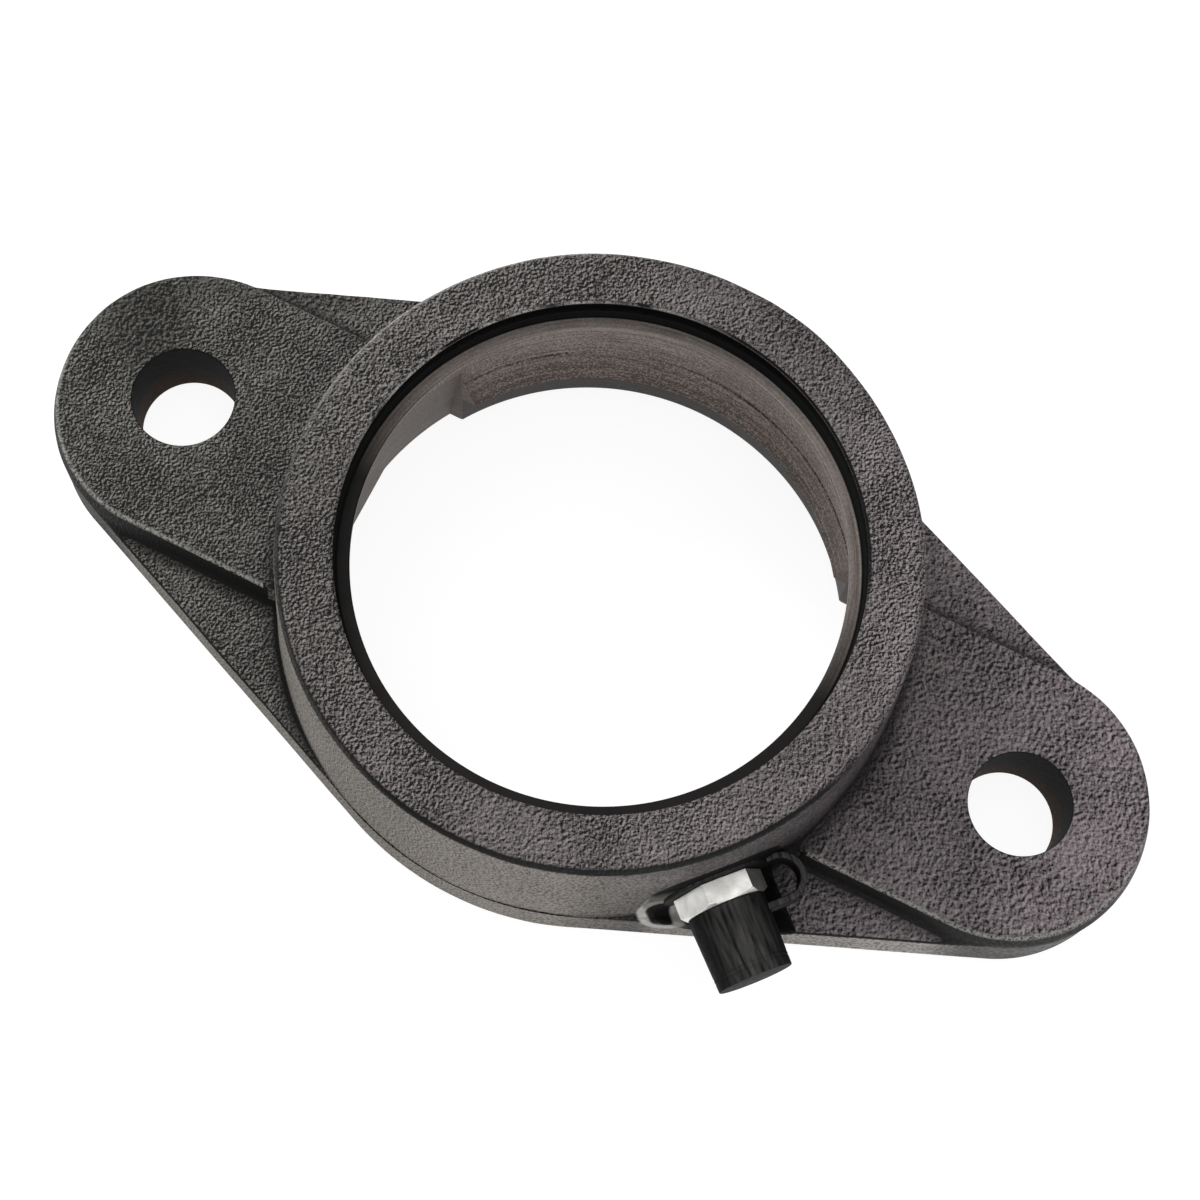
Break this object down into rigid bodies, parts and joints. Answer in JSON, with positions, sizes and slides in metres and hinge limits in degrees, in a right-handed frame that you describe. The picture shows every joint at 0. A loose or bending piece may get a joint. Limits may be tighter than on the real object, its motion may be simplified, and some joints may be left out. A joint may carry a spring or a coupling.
{
  "type": "two-bolt flange bearing housing",
  "caption": "Cast iron flange housing with a raised bolt band, a ring with a machined spherical seat and loading slots for an insert bearing, and a side grease nipple under a tethered dust cap.",
  "frame": {"origin": "centre of the mounting face, on the axis of the bore and midway between the bolt holes", "axes": "+Z along the bore, out of the front face; +X along the line of the bolt holes; +Y to the side away from the nipple"},
  "size_m": [0.1668, 0.0886, 0.034],
  "materials": {
    "casting": "black paint on a grainy casting, seat machined bare",
    "zinc": "bright zinc plate",
    "steel": "polished",
    "cap_plastic": "gloss black"
  },
  "bodies": {
    "frame": {"housing": "casting", "nipple_body": "zinc", "check_spring": "steel", "cap_ring": "cap_plastic", "cap_strap": "cap_plastic"},
    "ball": {"check_ball": "steel"},
    "cap": {"dust_cap": "cap_plastic"}
  },
  "joints": [
    {"name": "cap_pull", "type": "slide", "parent": "frame", "child": "cap", "axis": [0.7431, -0.6691, 0], "range_m": [0, 0.0072], "deforming": ["cap_strap"]},
    {"name": "ball_lift", "type": "slide", "parent": "frame", "child": "ball", "axis": [-0.7431, 0.6691, 0], "range_m": [0, 0.0012], "stiffness_N_per_m": 400, "springref_m": -0.001, "deforming": ["check_spring"]}
  ]
}
